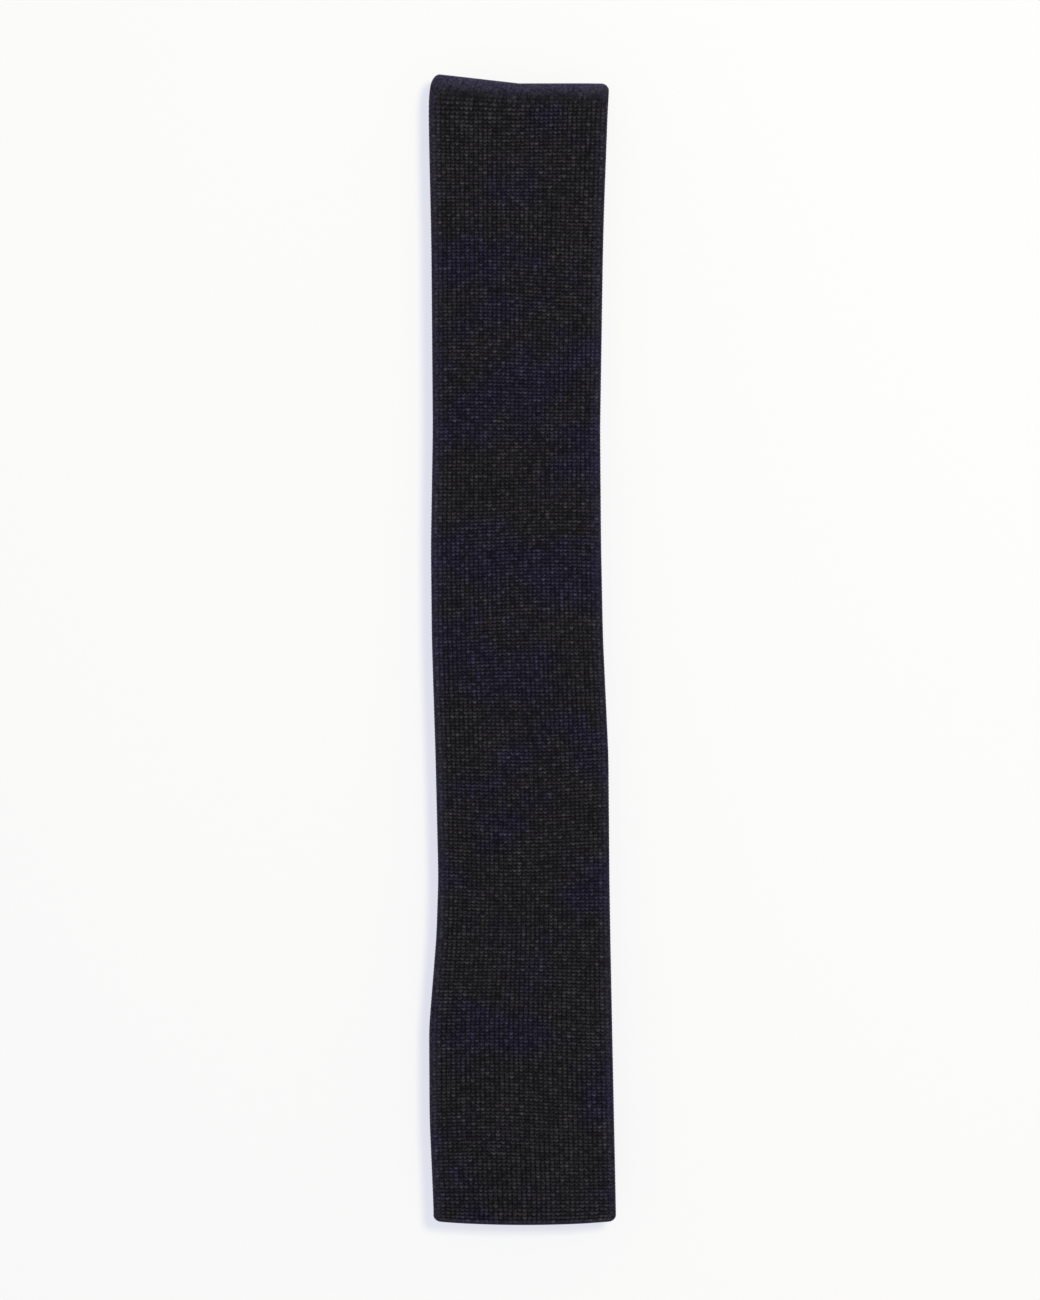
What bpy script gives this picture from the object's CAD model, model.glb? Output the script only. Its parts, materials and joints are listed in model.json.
import json
import math

import bmesh
import bpy
import numpy as np
from mathutils import Matrix, Vector


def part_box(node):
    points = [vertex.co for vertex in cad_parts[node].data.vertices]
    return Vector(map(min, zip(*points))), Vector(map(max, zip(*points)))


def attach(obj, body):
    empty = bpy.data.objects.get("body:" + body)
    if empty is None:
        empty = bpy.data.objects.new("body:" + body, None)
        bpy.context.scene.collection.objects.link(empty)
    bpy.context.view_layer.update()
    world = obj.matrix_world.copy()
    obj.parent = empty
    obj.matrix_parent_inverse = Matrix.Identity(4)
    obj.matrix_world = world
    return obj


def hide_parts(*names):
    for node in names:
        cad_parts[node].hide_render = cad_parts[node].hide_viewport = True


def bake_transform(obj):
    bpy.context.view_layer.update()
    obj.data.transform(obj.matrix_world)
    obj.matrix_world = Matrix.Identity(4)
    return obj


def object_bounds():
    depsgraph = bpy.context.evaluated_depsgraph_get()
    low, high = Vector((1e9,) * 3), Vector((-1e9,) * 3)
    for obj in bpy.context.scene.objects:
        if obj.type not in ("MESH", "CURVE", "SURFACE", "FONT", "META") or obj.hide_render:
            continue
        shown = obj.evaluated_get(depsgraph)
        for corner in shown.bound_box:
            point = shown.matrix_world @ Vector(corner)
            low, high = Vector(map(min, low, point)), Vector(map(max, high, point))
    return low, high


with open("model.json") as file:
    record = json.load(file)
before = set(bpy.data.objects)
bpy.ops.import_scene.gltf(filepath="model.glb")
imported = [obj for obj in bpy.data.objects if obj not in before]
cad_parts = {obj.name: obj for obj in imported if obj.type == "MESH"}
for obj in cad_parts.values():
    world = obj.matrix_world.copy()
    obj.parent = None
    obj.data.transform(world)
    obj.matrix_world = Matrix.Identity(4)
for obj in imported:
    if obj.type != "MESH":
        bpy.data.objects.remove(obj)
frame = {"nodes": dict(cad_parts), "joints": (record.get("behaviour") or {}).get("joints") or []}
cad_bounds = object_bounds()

# ---- Front blade, lower part, face up
# The widest section of the tie: a tube of fine wool jersey, pressed flat so that it has a face ply and
# a back ply. Its free end is square with small round corners. Each stitch is modelled: two legs that
# slant into a V, a deep line between columns and a shallow one between rows.
MM = 0.001
SOFT_EDGE = 0.5 * MM
END_CORNER = 2.6 * MM
END_BOW = 1 * MM
END_SWELL = 0.5 * MM
FRONT_CORNERS = ((2.8 * MM, 8 * MM), (1.7 * MM, 2.2 * MM))
SWELL = 0.3 * MM
ROLL_SWELL = 0.7 * MM
ROLL_REACH = 60 * MM
ROLL_CLIMB = 16 * MM
PLAIN_CORNER = 0.9 * MM
SOFT_CORNER = (1.4 * MM, 1.4 * MM)
BOW_REACH = 8 * MM
WAVER_FADE = 14 * MM
BACK_SEAM = (0.35 * MM, 0.9 * MM)
FOLD_ROWS = 12
CALM_ROWS = 1.5
FOLD_LINE_DEPTH = 0.36 * MM
LINE_DEPTH = np.array([[0.42, 0.34, 0.38, 0.34], [0.32, 0.0, 0.10, 0.0]]) * MM
LEG_SLANT = np.array([0.14, 0.0, -0.14, 0.0])
joints = {j["name"]: j for j in frame["joints"]}


def smooth(t):
    t = np.clip(t, 0, 1)
    return t * t * (3 - 2 * t)


def settle(points):
    """Cloth is never quite flat: long shallow waves, and sides that droop past the narrower layers below."""
    x, y, z = points[..., 0], points[..., 1], points[..., 2]
    height = z / cad_bounds[1][2]
    wave = 0.22 * np.sin(y / 0.041 + x / 0.03) + 0.16 * np.sin(y / 0.023 - x / 0.019 + 1.3)
    wave += 0.12 * np.sin(y / 0.067 - x / 0.012 + 0.4)
    droop = smooth((np.abs(x + 0.001) - 0.019) / 0.012)
    settled = points.copy()
    settled[..., 2] += height * (wave * (1 - 0.6 * droop) - 0.8 * droop) * MM
    return settled


def long_edges(node):
    """The two long edges of a CAD panel, as a function that gives both for any y."""
    co = np.array([v.co for v in frame["nodes"][node].data.vertices])
    level = co[:, 2].min() + SOFT_EDGE
    square_end = END_BOW + END_CORNER if "lower" in node else 0
    outline = co[(np.abs(co[:, 2] - level) < 1e-5) & (co[:, 1] > co[:, 1].min() + square_end - 1e-5)]
    centre = (outline[:, 0].min() + outline[:, 0].max()) / 2
    grid = np.arange(outline[:, 1].min(), outline[:, 1].max(), MM)
    kernel = np.hanning(17) / np.hanning(17).sum()
    soft = []
    for sign in (-1, 1):
        side = outline[sign * (outline[:, 0] - centre) > 0]
        side = side[np.lexsort((-sign * side[:, 0], side[:, 1].round(5)))]
        ys, first = np.unique(side[:, 1].round(5), return_index=True)
        line = np.pad(np.interp(grid, ys, side[first, 0]), 8, mode="edge")
        soft.append(np.convolve(line, kernel, "valid"))
    return lambda y: (np.interp(y, grid, soft[0]), np.interp(y, grid, soft[1]))


class Stretch:
    """One knit section's share of a layer, from its free end to the outermost line of its fold."""

    def __init__(self, node, fold, panel, face, courses, wales, tip, seed):
        low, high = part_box(node)
        lower, upper = joints[fold + "_opens"]["pos_m"], joints[fold + "_upper_crease"]["pos_m"]
        self.node, self.fold, self.panel, self.band = node, fold, panel, fold + "_band"
        self.face, self.courses, self.wales, self.tip, self.seed = face, courses, wales, tip, seed
        self.heading = 1 if lower[1] > 0 else -1
        self.free_y = low.y if self.heading > 0 else high.y
        self.half = (high.z - low.z) / 2
        self.turn = (upper[2] - lower[2]) / 2
        self.centre = (lower[1] - self.heading * self.turn, (upper[2] + lower[2]) / 2)
        self.above = 1 if (high.z + low.z) / 2 > self.centre[1] else -1
        self.outer = self.turn + self.half
        self.close = self.half * math.pi / 2
        self.run = self.close + abs(self.centre[0] - self.free_y) - self.half
        self.total = self.run + self.outer * math.pi / 2
        self.pitch = self.total / courses
        self.edges = long_edges(node)
        fold_low, fold_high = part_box(fold)
        self.fold_edges = (fold_low.x, fold_high.x)
        self.rise = abs(fold_high.y - lower[1]) - self.half if self.heading > 0 else 0
        front = fold == "front_fold"
        self.corners = FRONT_CORNERS if front else (SOFT_CORNER,) * 2
        self.swell = ROLL_SWELL if front else 0

    def grid(self, first, last, side):
        """Points and stitch coordinates of one ply, 1 for the face and -1 for the back."""
        wales = self.wales[0] if side > 0 else self.wales[1]
        course = first + np.arange(2 * (last - first) + 1) / 2
        wale = np.arange(4 * wales + 1) / 4
        row, col = np.meshgrid(course, wale, indexing="ij")
        rng = np.random.default_rng(self.seed + side)
        loose = rng.normal(0, 1, (3, 2 * self.courses + 1, 4 * wales + 1))
        to_fold_line = smooth((self.courses - row) / CALM_ROWS)
        loose = loose[:, 2 * first : 2 * last + 1] * to_fold_line
        inside = smooth(np.minimum(col, wales - col))
        kind = (4 * wale).astype(int) % 4
        depth = -LINE_DEPTH[(2 * course).astype(int) % 2][:, kind]
        depth = -FOLD_LINE_DEPTH + (depth + FOLD_LINE_DEPTH) * to_fold_line
        knit_way = self.heading * self.face
        calm = smooth((row * self.pitch - self.close) / (2 * self.pitch))
        step = LEG_SLANT[kind] * knit_way + 0.05 * loose[0] * inside
        s = (row + step * calm) * self.pitch
        turned = np.maximum(s - self.run, 0) / self.outer
        closing = np.clip(s / self.close, 0, 1) * math.pi / 2
        past_end = np.where(s < self.close, self.half * (1 - np.cos(closing)),
                            self.half + np.minimum(s, self.run) - self.close)
        y = self.free_y + self.heading * (past_end + self.turn * np.sin(turned))
        z = self.centre[1] + self.above * self.turn * np.cos(turned)
        left, right = self.edges(y)
        share = smooth((row - self.courses + FOLD_ROWS) / FOLD_ROWS)
        from_top = self.outer * (1 - np.sin(turned)) + np.maximum(self.run - s, 0)
        near_roll = smooth(1 - from_top / ROLL_REACH)
        ends = []
        for edge, fold_edge, corner, sign in zip((left, right), self.fold_edges, self.corners, (1, -1)):
            edge = edge + (fold_edge - edge) * share - sign * (SWELL + self.swell * near_roll)
            gone = 1 - np.minimum(from_top / corner[1], 1)
            edge = edge + sign * corner[0] * (1 - np.sqrt(1 - gone**2))
            radius = END_CORNER if self.tip else PLAIN_CORNER
            gone = radius - np.minimum(past_end, radius)
            edge = edge + sign * (radius - np.sqrt(radius**2 - gone**2))
            ends.append(edge)
        left, right = ends
        flat = (right - left) - 2 * self.half
        arc = self.half * math.pi / 2
        across = (wale / wales + 0.03 * loose[1] * inside / wales) * (flat + 2 * arc)
        to_edge = np.minimum(across, flat + 2 * arc - across)
        angle = np.clip(to_edge / self.half, 0, math.pi / 2)
        lip = self.half * (1 - np.cos(angle)) + np.maximum(to_edge - arc, 0)
        x = np.where(across < arc + flat / 2, left + lip, right - lip)
        outwards = np.where(across < arc + flat / 2, -1, 1) * np.cos(angle)
        middle = (left + right) / 2
        bow = END_BOW * ((x - middle) / (right - middle)) ** 2 - END_SWELL if self.tip else 0
        y = y + self.heading * bow * (1 - smooth(past_end / BOW_REACH))
        waver = 0.5 * np.sin(x / 0.017 + y / 0.037) + 0.3 * np.sin(x / 0.010 - y / 0.021 + 2)
        y = y + waver * MM * smooth(past_end / WAVER_FADE - 0.2) * smooth(from_top / WAVER_FADE - 0.3)
        climb = smooth((s - self.total + ROLL_CLIMB) / ROLL_CLIMB)
        notch = sum(self.fold_edges) / 2
        hump = np.clip((notch - x) / (notch - self.fold_edges[0]), 0, 1)
        y = y + self.heading * climb * (self.rise * hump + self.swell)
        outside = self.face * self.above * side
        slack = (self.turn + outside * self.half * np.sin(angle)) / self.outer
        tight = 1 + (slack - 1) * smooth(turned / 0.3)
        groove, spread = BACK_SEAM
        seam = groove * np.exp(-(((x - middle) / spread) ** 2)) if side < 0 else 0
        blur = smooth(1.35 - from_top / (6.5 * MM)) * (outside > 0)
        lift = (depth + 0.035 * MM * loose[2] * inside - seam) * calm * tight * (1 - 0.75 * blur)
        lift = lift * (1 - 0.6 * np.cos(angle))
        offset = side * np.sin(angle) * (self.half * np.sin(closing) + lift)
        radial = (self.heading * np.sin(turned), self.above * np.cos(turned))
        facing = self.face * self.above
        points = np.stack([x + outwards * lift, y + facing * radial[0] * offset,
                           z + facing * radial[1] * offset], axis=-1)
        stitches = np.stack([col + 100 * (side < 0), row + 400 * self.seed], axis=-1)
        rolled = smooth(1.25 - from_top / (4.5 * MM)) * (outside > 0)
        lips = smooth(1.5 - past_end / self.half) if self.tip else 0
        rim = np.where(across < arc + flat / 2, 0.55, 0.4) * smooth(1.2 - to_edge / (4.5 * MM))
        nap = np.stack([np.maximum(rolled, np.maximum(rim, 0.4 * lips)), blur], axis=-1)
        if knit_way * side < 0:
            points, stitches, nap = points[:, ::-1], stitches[:, ::-1], nap[:, ::-1]
        return settle(points), stitches, nap


def add_piece(name, bm):
    mesh = bpy.data.meshes.new(name)
    bm.to_mesh(mesh)
    bm.free()
    mesh.shade_smooth()
    piece = bpy.data.objects.new(name, mesh)
    bpy.context.scene.collection.objects.link(piece)
    return piece


def knit(name, grids):
    """One piece from one or two plies, joined along the tube's long edges."""
    joined = bmesh.new()
    for points, stitches, nap in grids:
        ply = bmesh.new()
        bmesh.ops.create_grid(ply, x_segments=points.shape[1] - 1, y_segments=points.shape[0] - 1, size=1)
        mesh = bpy.data.meshes.new(name)
        ply.to_mesh(mesh)
        ply.free()
        mesh.vertices.foreach_set("co", points.reshape(-1))
        corners = np.empty(len(mesh.loops), np.int32)
        mesh.loops.foreach_get("vertex_index", corners)
        layer = mesh.uv_layers.new(name="stitches")
        layer.data.foreach_set("uv", stitches.reshape(-1, 2)[corners].reshape(-1))
        for index, rubbed in enumerate(("nap", "blur")):
            values = mesh.attributes.new(rubbed, "FLOAT", "POINT").data
            values.foreach_set("value", np.ascontiguousarray(nap[..., index]).reshape(-1))
        joined.from_mesh(mesh)
        bpy.data.meshes.remove(mesh)
    bmesh.ops.remove_doubles(joined, verts=joined.verts, dist=1e-6)
    return add_piece(name, joined)


class Value:
    """A number on a node socket, which Python expressions can use."""

    def __init__(self, tree, socket):
        self.tree = tree
        self.socket = socket

    def math(self, operation, *values):
        node = self.tree.nodes.new("ShaderNodeMath")
        node.operation = operation
        for slot, value in zip(node.inputs, values):
            if isinstance(value, Value):
                self.tree.links.new(value.socket, slot)
            else:
                slot.default_value = value
        return Value(self.tree, node.outputs[0])

    def __add__(self, other):
        return self.math("ADD", self, other)

    def __sub__(self, other):
        return self.math("SUBTRACT", self, other)

    def __rsub__(self, other):
        return self.math("SUBTRACT", other, self)

    def __mul__(self, other):
        return self.math("MULTIPLY", self, other)

    def __pow__(self, other):
        return self.math("POWER", self, other)

    def __gt__(self, other):
        return self.math("GREATER_THAN", self, other)

    def __abs__(self):
        return self.math("ABSOLUTE", self)

    def whole(self):
        return self.math("FLOOR", self)

    def part(self):
        return self.math("FRACT", self)

    def sine(self):
        return self.math("SINE", self)

    __radd__ = __add__
    __rmul__ = __mul__


class Nodes:
    """A node tree and its shader, with the nodes that this tie's finishes use."""

    def __init__(self, tree, shader):
        self.tree = tree
        self.shader = tree.nodes[shader]

    def fill(self, node, sockets):
        for name, value in sockets.items():
            if isinstance(value, Value):
                self.tree.links.new(value.socket, node.inputs[name])
            else:
                node.inputs[name].default_value = value

    def node(self, kind, settings, sockets, output=0):
        made = self.tree.nodes.new("ShaderNode" + kind)
        for key, value in settings.items():
            setattr(made, key, value)
        self.fill(made, sockets)
        return Value(self.tree, made.outputs[output])

    def split(self, vector):
        return [self.node("SeparateXYZ", {}, {0: vector}, axis) for axis in range(3)]

    def join(self, x, y, z=0.0):
        return self.node("CombineXYZ", {}, {"X": x, "Y": y, "Z": z})

    def random(self, x, y):
        return self.node("TexWhiteNoise", {"noise_dimensions": "2D"}, {"Vector": self.join(x, y)})

    def noise(self, vector, scale, detail=2.0):
        return self.node("TexNoise", {}, {"Vector": vector, "Scale": scale, "Detail": detail})

    def mix(self, factor, first, second):
        return self.node("Mix", {"data_type": "RGBA"}, {0: factor, 6: first, 7: second}, 2)

    def scale(self, colour, amount):
        return self.node("VectorMath", {"operation": "SCALE"}, {0: colour, "Scale": amount})

    def bump(self, height, distance, strength=1.0):
        return self.node("Bump", {}, {"Height": height, "Distance": distance, "Strength": strength})

    def ramp(self, value, low, high):
        return self.node("MapRange", {"interpolation_type": "SMOOTHSTEP"},
                         {"Value": value, "From Min": low, "From Max": high})


class Finish(Nodes):
    """A material with a Principled shader, whose constants are set on the shader's own sockets."""

    def __init__(self, name, **constants):
        self.material = bpy.data.materials.new(name)
        self.material.use_nodes = True
        super().__init__(self.material.node_tree, "Principled BSDF")
        self.fill(self.shader, {key.replace("_", " "): value for key, value in constants.items()})


CHARCOAL, NAVY = (0.0234, 0.0224, 0.0272, 1), (0.0216, 0.0196, 0.0425, 1)
PALE_NAP = (0.047, 0.042, 0.088)
FULL_TURN = 6.283


def knit_wool():
    """Melange wool: every stitch its own shade, some of them pale, and navy and charcoal drifting in
    patches. The nap is raised, paler and bluer, where the cloth is rolled over a fold or an edge."""
    wool = Finish("knit_wool", Roughness=0.92, IOR=1.4, Sheen_Weight=0.15, Sheen_Roughness=0.5,
                  Sheen_Tint=(0.62, 0.58, 1.0, 1.0), Specular_IOR_Level=0.15)
    u, v, _ = wool.split(wool.node("UVMap", {"uv_map": "stitches"}, {}))
    place = wool.node("TexCoord", {}, {}, 3)
    nap = wool.node("Attribute", {"attribute_name": "nap"}, {}, 2)
    x, y, z = wool.split(place)
    blur = wool.node("Attribute", {"attribute_name": "blur"}, {}, 2)
    shade = wool.random(u.whole(), v.whole())
    strand = wool.random(u.whole() + 0.5, (v * 0.34).whole() + 7.5)
    drift = 1 - wool.ramp(abs(y - 0.025), 0.03, 0.11)
    cloud = wool.noise(wool.join(x * 36, y * 52, z * 50 + 4), 1.0, 4.0) + drift * 0.08 + nap * 0.10
    patch = wool.ramp(cloud, 0.50, 0.68)
    lean = wool.ramp(wool.noise(wool.join(x * 60 + 9, y * 45, z * 45), 1.0, 2.0), 0.38, 0.62)
    fibre = wool.noise(place, 3200.0, 3.0)
    across = abs(u.part() - 0.5) * 2
    along = abs(v.part() - 0.5) * 2
    line = (1 - (0.94 - 0.24 * lean) * across**2.2) * (1 - (0.88 + 0.10 * lean) * along)
    plain = line * (1 - blur) + blur * 0.4
    lint = wool.random((u * 3).whole() + 0.25, (v * 3).whole() + 0.75)
    felt = wool.noise(place, 1100.0, 4.0)
    light = (0.72 + 1.15 * shade + 0.35 * strand) * (0.05 + 1.3 * lint + 0.6 * fibre) * plain
    light = light + (shade > 0.96) * plain * 0.7
    tone = wool.mix(patch, CHARCOAL, NAVY)
    fuzz = wool.scale(PALE_NAP, 0.2 + 0.8 * lint + 1.6 * wool.ramp(felt, 0.3, 0.7))
    raised = wool.mix(nap * 0.39, wool.scale(tone, light), fuzz)
    wool.fill(wool.shader, {"Base Color": raised})
    twist = ((u * 4 + v * 3) * FULL_TURN).sine()
    wool.fill(wool.shader, {"Normal": wool.bump(fibre + 0.25 * twist * plain, 0.12 * MM, 0.7)})
    return wool.material


WOOL = knit_wool()


def dress(piece, material, slot, *nodes):
    piece.data.materials.append(material)
    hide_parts(*nodes)


def cloth_of(stretch, first, last):
    """The stretch's cut size: the tube's girth, or one ply of it, by the length of its rows."""
    left, right = stretch.edges(stretch.free_y + stretch.heading * (first + last) / 2 * stretch.pitch)
    ply = float(right - left) + (math.pi - 2) * stretch.half
    (last - first) * stretch.pitch


def ply_pieces(stretch, names, supports):
    """The flat part as two plies, face and back, each its own piece."""
    last = stretch.courses - FOLD_ROWS
    for name, side, rests_on in zip(names, (1, -1), supports):
        piece = knit(name, [stretch.grid(0, last, side)])
        dress(piece, WOOL, "knit_wool", stretch.node)
        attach(piece, stretch.panel)
        cloth_of(stretch, 0, last)


front_lower = Stretch("front_blade_lower", "front_fold", "front_panel", 1, 316, (39, 40), True, 1)
ply_pieces(front_lower, ("front_blade_lower_face", "front_blade_lower_back"),
           (["front_blade_lower_back"], ["front_blade_upper_back"]))

# ---- Front fold
# The same tube, bent back under itself. The cloth rolls round in a soft loop and isn't pressed into a
# crease. Its left half stands out a little past its right half, as it was folded by hand. The loop is
# two halves that meet on its outermost line, and each bends over one of the fold's two creases.
SOFT_BEND = 1.5 * MM


def half_fold(stretch, name, spread):
    first, last = stretch.courses - FOLD_ROWS, stretch.courses
    piece = knit(name, [stretch.grid(first, last, 1), stretch.grid(first, last, -1)])
    dress(piece, WOOL, "knit_wool", stretch.fold)
    inner = stretch.turn - stretch.half
    y, z = stretch.centre
    reach = inner + spread / 2
    start = (0, y - stretch.heading * (spread + inner), z)
    end = (0, start[1] + stretch.heading * reach, z - stretch.above * reach)
    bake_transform(piece)
    cloth_of(stretch, first, last)


front_upper = Stretch("front_blade_upper", "front_fold", "middle_panel", -1, 174, (39, 40), False, 2)
half_fold(front_lower, "front_fold_top", SOFT_BEND)
half_fold(front_upper, "front_fold_under", SOFT_BEND)

# ---- Front blade, upper part, face down
# The blade goes on under its own lower part and narrows towards the neck, where it is sewn to the neck
# band. Its face lies on the layer below, so this layer shows its back ply and seam.
ply_pieces(front_upper, ("front_blade_upper_face", "front_blade_upper_back"),
           (["neck_rear", "tail_rear"], ["front_blade_upper_face"]))

# ---- Neck band
# The narrow middle section of the tie, a tube of the same jersey with canvas inside. One half lies face
# down, the other face up, and between them the band turns back in a tight fold.
NECK_BEND = 2.2 * MM


def tube_piece(stretch, name):
    last = stretch.courses - FOLD_ROWS
    piece = knit(name, [stretch.grid(0, last, 1), stretch.grid(0, last, -1)])
    dress(piece, WOOL, "knit_wool", stretch.node)
    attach(piece, stretch.panel)
    cloth_of(stretch, 0, last)


neck_middle = Stretch("neck_front_half", "neck_fold", "middle_panel", -1, 138, (30, 30), False, 3)
neck_rear = Stretch("neck_tail_half", "neck_fold", "rear_panel", 1, 165, (30, 30), False, 4)
tube_piece(neck_middle, "neck_middle")
tube_piece(neck_rear, "neck_rear")
half_fold(neck_middle, "neck_fold_upper", NECK_BEND)
half_fold(neck_rear, "neck_fold_lower", NECK_BEND)

# ---- Tail
# The narrow end of the tie. It starts at the seam with the neck, turns over in the third fold and ends
# square, a little short of the front tip. Its lower part is the layer that lies on the table.
tail_rear = Stretch("tail_upper", "tail_fold", "rear_panel", 1, 144, (32, 32), False, 5)
tail_lower = Stretch("tail_lower", "tail_fold", "tail_panel", -1, 299, (32, 32), True, 6)
tube_piece(tail_rear, "tail_rear")
ply_pieces(tail_lower, ("tail_lower_face", "tail_lower_back"), (["table"], ["tail_lower_face"]))
half_fold(tail_rear, "tail_fold_upper", SOFT_BEND)
half_fold(tail_lower, "tail_fold_lower", SOFT_BEND)

# ---- Sewing
# One dark polyester thread does all of it. Slip stitches close each section's back seam, whip stitches
# hold the ends shut, and over-edge stitches join the sections. Each stitch is a short raised length.
def sewing_thread():
    thread = Finish("sewing_thread", Roughness=0.55, Specular_IOR_Level=0.35, Sheen_Weight=0.1)
    place = thread.node("TexCoord", {}, {}, 3)
    x, y, z = thread.split(place)
    ply = (x * 9000 + y * 14000 + z * 9000).sine()
    lint = thread.noise(place, 5200.0, 2.0)
    colour = thread.mix(lint, (0.006, 0.006, 0.009, 1), (0.030, 0.029, 0.040, 1))
    thread.fill(thread.shader, {"Base Color": thread.scale(colour, 0.8 + 0.25 * ply),
                                "Normal": thread.bump(ply * 0.5 + lint, 0.05 * MM)})
    return thread.material


THREAD = sewing_thread()
SEAM_PITCH, SLIP_STITCH = 4.2 * MM, 2.6 * MM
WHIP_STITCH = {"pitch": 2.6 * MM, "length": 2.4 * MM, "slant": 0.5}
OVER_EDGE_STITCH = {"pitch": 1.8 * MM, "length": 3.2 * MM, "slant": 0.2}


def settle_piece(piece):
    co = np.empty(len(piece.data.vertices) * 3)
    piece.data.vertices.foreach_get("co", co)
    piece.data.vertices.foreach_set("co", settle(co.reshape(-1, 3)).reshape(-1))


def sew(name, body, node, places, width=0.5 * MM, height=0.4 * MM):
    """Stitches at (x, y, z, turn, length), as long rounded beads of thread."""
    bm = bmesh.new()
    for x, y, z, turn, length in places:
        bead = Matrix.Translation((x, y, z)) @ Matrix.Rotation(turn, 4, "Z")
        bead = bead @ Matrix.Diagonal((width, length, height, 1))
        bmesh.ops.create_uvsphere(bm, u_segments=8, v_segments=6, radius=0.5, matrix=bead)
    piece = add_piece(name, bm)
    settle_piece(piece)
    dress(piece, THREAD, "sewing_thread", node)
    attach(piece, body)


def middle_of(stretch, y):
    left, right = stretch.edges(y)
    return float(left + right) / 2


def back_of(stretch):
    """Height of the back ply's surface."""
    low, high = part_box(stretch.node)
    return low.z if stretch.face > 0 else high.z


def back_seam(stretch, node):
    low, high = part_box(node)
    count = round((high.y - low.y) / SEAM_PITCH)
    ys = np.linspace(low.y, high.y, count)
    rng = np.random.default_rng(count)
    sew(node + "_stitches", stretch.panel, node,
        [(middle_of(stretch, y) + rng.normal(0, 0.1) * MM, y, back_of(stretch),
          0.35 + rng.normal(0, 0.08), SLIP_STITCH) for y in ys])


def cross_seam(stretch, node, pitch, length, slant):
    low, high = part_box(node)
    xs = np.linspace(low.x, high.x, round((high.x - low.x) / pitch))
    y = (low.y + high.y) / 2
    sew(node + "_stitches", stretch.panel, node,
        [(x, y, back_of(stretch), slant, length) for x in xs])


back_seam(front_lower, "front_back_seam_lower")
back_seam(front_upper, "front_back_seam_upper")
back_seam(neck_middle, "neck_front_seam")
back_seam(neck_rear, "neck_tail_seam")
back_seam(tail_rear, "tail_back_seam_upper")
back_seam(tail_lower, "tail_back_seam_lower")
cross_seam(front_lower, "front_end_seam", **WHIP_STITCH)
cross_seam(tail_lower, "tail_end_seam", **WHIP_STITCH)
cross_seam(front_upper, "front_neck_join", **OVER_EDGE_STITCH)
cross_seam(tail_rear, "tail_neck_join", **OVER_EDGE_STITCH)

# ---- Bar tacks
# A dense bar of satin stitch ends each back seam above the square end, where the tie is pulled when it
# is knotted. Its wraps lie side by side across the seam.
WRAPS, WRAP_LENGTH = 17, 1.7 * MM
for stretch, node in ((front_lower, "front_bar_tack"), (tail_lower, "tail_bar_tack")):
    low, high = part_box(node)
    y = (low.y + high.y) / 2
    places = [(x, y, back_of(stretch), 0.1, WRAP_LENGTH) for x in np.linspace(low.x, high.x, WRAPS)]
    places.append(((low.x + high.x) / 2, y, back_of(stretch), math.pi / 2, high.x - low.x))
    sew(node + "_thread", stretch.panel, node, places, width=0.6 * MM, height=0.55 * MM)

# ---- Turned-in ends
# At each square end the jersey turns in and lies between the two plies, which gives the end its body.
# It is the same wool, held by the whip stitches.
RIB_WIDTH, RIB_HEIGHT = 1.5 * MM, 1.2 * MM


def strip(name, node, body, material, slot, cells, thick, unit, shape=None):
    """A flat strip of cloth as large as its CAD node, with its own cloth coordinates."""
    low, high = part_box(node)
    size, centre = high - low, (high + low) / 2
    bm = bmesh.new()
    spread = Matrix.Translation(centre) @ Matrix.Diagonal((size.x, size.y, 1, 1))
    bmesh.ops.create_grid(bm, x_segments=cells[0], y_segments=cells[1], size=0.5, matrix=spread)
    bmesh.ops.solidify(bm, geom=bm.faces[:], thickness=thick)
    bmesh.ops.recalc_face_normals(bm, faces=bm.faces[:])
    drop = sum(v.co.z for v in bm.verts) / len(bm.verts) - centre.z
    layer = bm.loops.layers.uv.new("stitches")
    for face in bm.faces:
        for corner in face.loops:
            at = corner.vert.co - centre
            corner[layer].uv = (at.x / unit[0], at.y / unit[1])
    for v in bm.verts:
        at = v.co - centre
        v.co.z += (shape(at.x / size.x, at.y / size.y, at) if shape else 0) - drop
    piece = add_piece(name, bm)
    settle_piece(piece)
    dress(piece, material, slot, node)
    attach(piece, body)


def jersey_ribs(u, v, at):
    column = abs(math.cos(at.x / RIB_WIDTH * math.pi))
    row = abs(math.cos(at.y / RIB_HEIGHT * math.pi))
    return 0.07 * MM * (column**0.5 + row**0.5 - 1)


for node, body, below in (("front_end_hem", "front_panel", "front_blade_lower_back"),
                          ("tail_end_hem", "tail_panel", "tail_lower_face")):
    strip(node + "_jersey", node, body, WOOL, "knit_wool", (72, 12), 0.35 * MM,
          (1.6 * MM, 1.2 * MM), jersey_ribs)

# ---- Keeper loop
# A short band of the same jersey across the back of the front blade. The tail is threaded through it
# when the tie is worn. Its ends are turned under and held by a row of tacks at each side.
def keeper_shape(u, v, at):
    bowed = -0.16 * MM * (1 - (2 * u) ** 2)
    pressed = 0.12 * MM * max(0, abs(2 * u) - 0.86) / 0.14
    return bowed + pressed + jersey_ribs(u, v, at)


strip("keeper_loop_band", "keeper_loop", "front_panel", WOOL, "knit_wool",
      (96, 24), 0.42 * MM, (RIB_WIDTH, RIB_HEIGHT), keeper_shape)
low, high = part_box("keeper_tacks")
places = [(x, y, low.z + 0.25 * MM, math.pi / 2, 1.6 * MM)
          for x in (low.x + 0.4 * MM, high.x - 0.4 * MM) for y in np.linspace(low.y, high.y, 9)]
sew("keeper_tack_stitches", "front_panel", "keeper_tacks", places, width=0.5 * MM)

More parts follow.
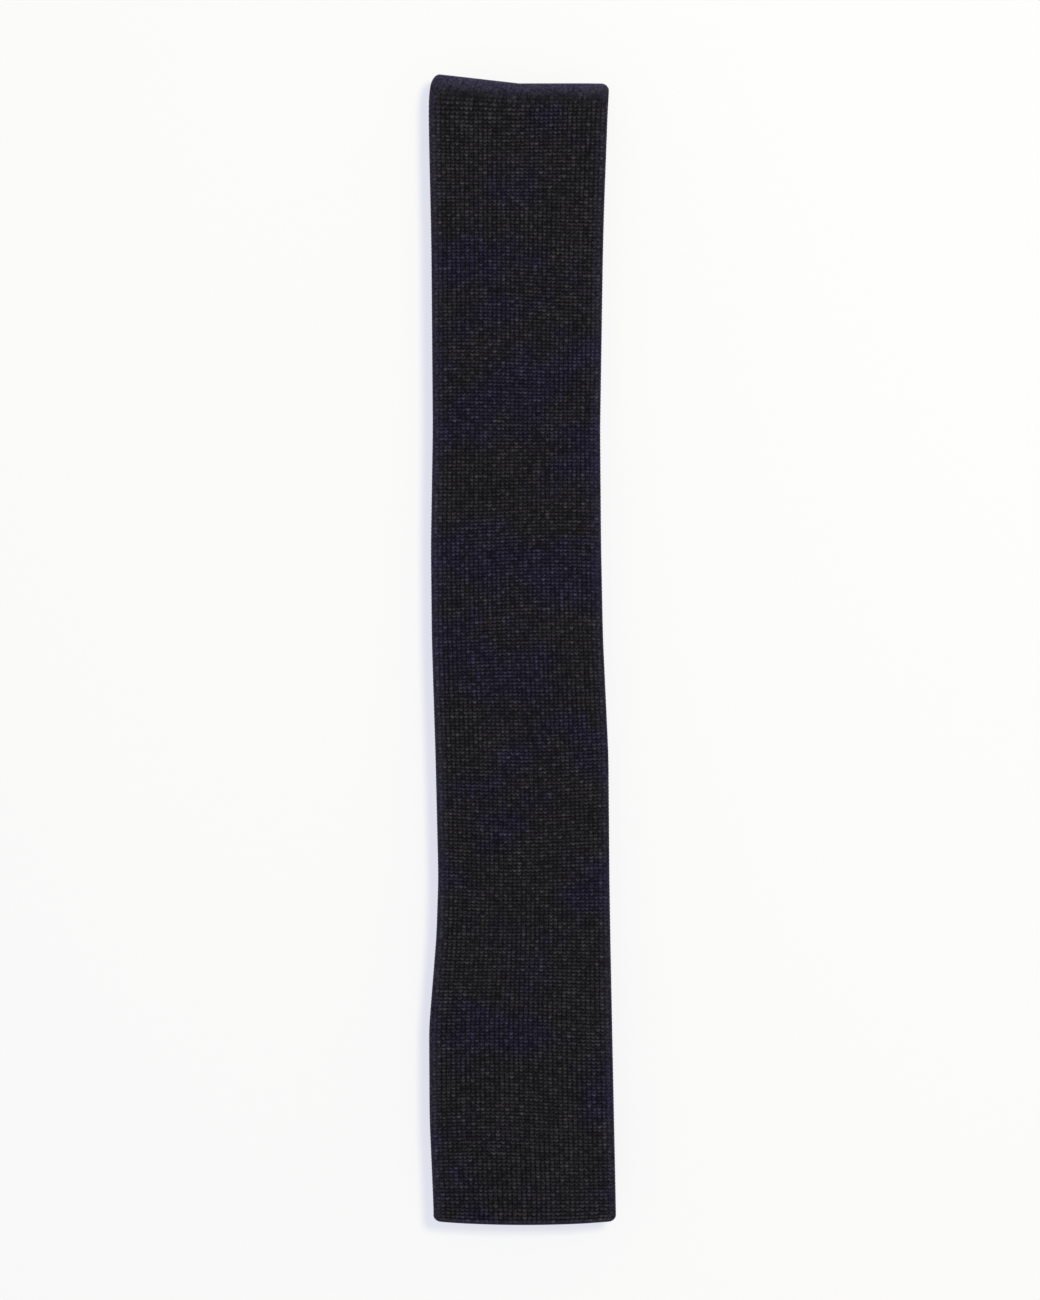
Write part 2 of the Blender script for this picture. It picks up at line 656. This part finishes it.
# ---- Interlining
# A strip of undyed canvas lies loose inside the neck band, from the neck fold to the seams at its two
# ends. It keeps the knit from stretching where the tie is knotted.
def woven(name, warp, weft, pitch, gloss, border=None):
    """Plain or satin weave in cloth coordinates, in millimetres, with a woven border if one is given."""
    cloth = Finish(name, Roughness=gloss, Specular_IOR_Level=0.3, Sheen_Weight=0.08)
    u, v, _ = cloth.split(cloth.node("UVMap", {"uv_map": "stitches"}, {}))
    over = (u * (FULL_TURN / pitch[0])).sine() * (v * (FULL_TURN / pitch[1])).sine()
    slub = cloth.noise(cloth.join(u * 2.1, v * 0.35), 1.0, 3.0)
    colour = cloth.mix(cloth.ramp(over, -0.6, 0.6), warp, weft)
    if border:
        edge, line = border
        on_line = (0.35 - abs(abs(v) - edge)) > 0
        colour = cloth.mix(on_line, colour, line)
    cloth.fill(cloth.shader, {"Base Color": cloth.scale(colour, 0.7 + 0.6 * slub),
                              "Normal": cloth.bump(over * 0.5 + slub * 0.4, 0.06 * MM)})
    return cloth.material


CANVAS = woven("interlining_canvas", (0.50, 0.46, 0.37, 1), (0.66, 0.62, 0.53, 1), (0.9, 0.9), 0.85)
for node, body, below in (("neck_front_interlining", "middle_panel", "neck_middle"),
                          ("neck_tail_interlining", "rear_panel", "neck_rear")):
    strip(node + "_canvas", node, body, CANVAS, "interlining_canvas", (16, 90), 0.45 * MM, (MM, MM))

# ---- Labels
# Two blank satin labels with a woven border line, both sewn down all round with a running stitch: the
# maker's, dark, across the back of the front blade, and the care label, pale, along the back of the tail.
LABEL_PITCH, LABEL_STITCH, LABEL_INSET = 2.6 * MM, 1.6 * MM, 1.2 * MM
SATIN = (0.24, 0.5)


def puckered(u, v, at):
    edge = max(abs(u), abs(v)) * 2
    return (0.05 * math.cos(at.x / LABEL_PITCH * FULL_TURN) * edge**4 + 0.04 * math.sin(at.y / (7 * MM))) * MM


def label(node, stitch_node, body, material, cells, facing):
    low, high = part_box(node)
    strip(node + "_satin", node, body, material, node + "_satin", cells, 0.22 * MM, (MM, MM), puckered)
    inset = LABEL_INSET
    z = low.z - 0.08 * MM if facing < 0 else high.z + 0.04 * MM
    places = []
    for y in (low.y + inset, high.y - inset):
        xs = np.linspace(low.x + inset, high.x - inset, round((high.x - low.x) / LABEL_PITCH))
        places += [(x, y, z, math.pi / 2, LABEL_STITCH) for x in xs]
    for x in (low.x + inset, high.x - inset):
        ys = np.linspace(low.y + 3 * inset, high.y - 3 * inset, round((high.y - low.y) / LABEL_PITCH) - 2)
        places += [(x, y, z, 0, LABEL_STITCH) for y in ys]
    sew(stitch_node + "_thread", body, stitch_node, places, width=0.3 * MM, height=0.24 * MM)


DARK_SATIN = woven("maker_label_satin", (0.010, 0.011, 0.021, 1), (0.022, 0.023, 0.041, 1), SATIN, 0.38,
                   (7.2, (0.085, 0.085, 0.115, 1)))
PALE_SATIN = woven("care_label_satin", (0.60, 0.59, 0.55, 1), (0.74, 0.73, 0.69, 1), SATIN, 0.42)
label("maker_label", "maker_label_stitches", "front_panel", DARK_SATIN,
      (76, 40), -1)
label("care_label", "care_label_stitches", "tail_panel", PALE_SATIN, (40, 60), 1)

# ---- Table, light and camera
# A pale, plain table. A broad soft light stands to the right and above the top end, so the only shadow
# is a faint one along the tie's left edge. The camera looks straight down.
table = Finish("pale_table", Base_Color=(0.33, 0.32, 0.20, 1), Roughness=0.9, Specular_IOR_Level=0.0,
               Emission_Color=(0.845, 0.865, 1.0, 1), Emission_Strength=0.79)
bm = bmesh.new()
bmesh.ops.create_grid(bm, x_segments=4, y_segments=4, size=20)
floor = add_piece("table", bm)
floor.data.materials.append(table.material)


def add_light(name, place, aim, size, power, colour):
    data = bpy.data.lights.new(name, "AREA")
    data.shape = "DISK"
    data.size = size
    data.energy = power
    data.color = colour
    light = bpy.data.objects.new(name, data)
    light.location = place
    light.rotation_euler = (Vector(aim) - Vector(place)).to_track_quat("-Z", "Y").to_euler()
    bpy.context.scene.collection.objects.link(light)


add_light("window", (0.62, 0.5, 1.9), (0, 0, 0), 0.55, 28, (1.0, 0.96, 0.86))
world = bpy.data.worlds.new("studio")
world.use_nodes = True
walls = Nodes(world.node_tree, "Background")
_, _, up = walls.split(walls.node("TexCoord", {}, {}))
walls.fill(walls.shader, {"Color": (0.97, 0.975, 1.0, 1),
                          "Strength": 0.92 - 0.62 * walls.ramp(up, 0.10, 0.30)})
bpy.context.scene.world = world

VIEW_CENTRE = (-0.82 * MM, -0.33 * MM)
VIEW_LENGTH = 426.2 * MM
CAMERA_HEIGHT = 1.5
SENSOR_WIDTH = 36
camera_data = bpy.data.cameras.new("camera")
camera_data.sensor_width = SENSOR_WIDTH
camera_data.lens = SENSOR_WIDTH * (CAMERA_HEIGHT - cad_bounds[1][2]) / VIEW_LENGTH
camera_data.clip_start = 0.01
camera = bpy.data.objects.new("camera", camera_data)
camera.location = (*VIEW_CENTRE, CAMERA_HEIGHT)
bpy.context.scene.collection.objects.link(camera)
bpy.context.scene.camera = camera
bpy.context.scene.view_settings.view_transform = "Standard"
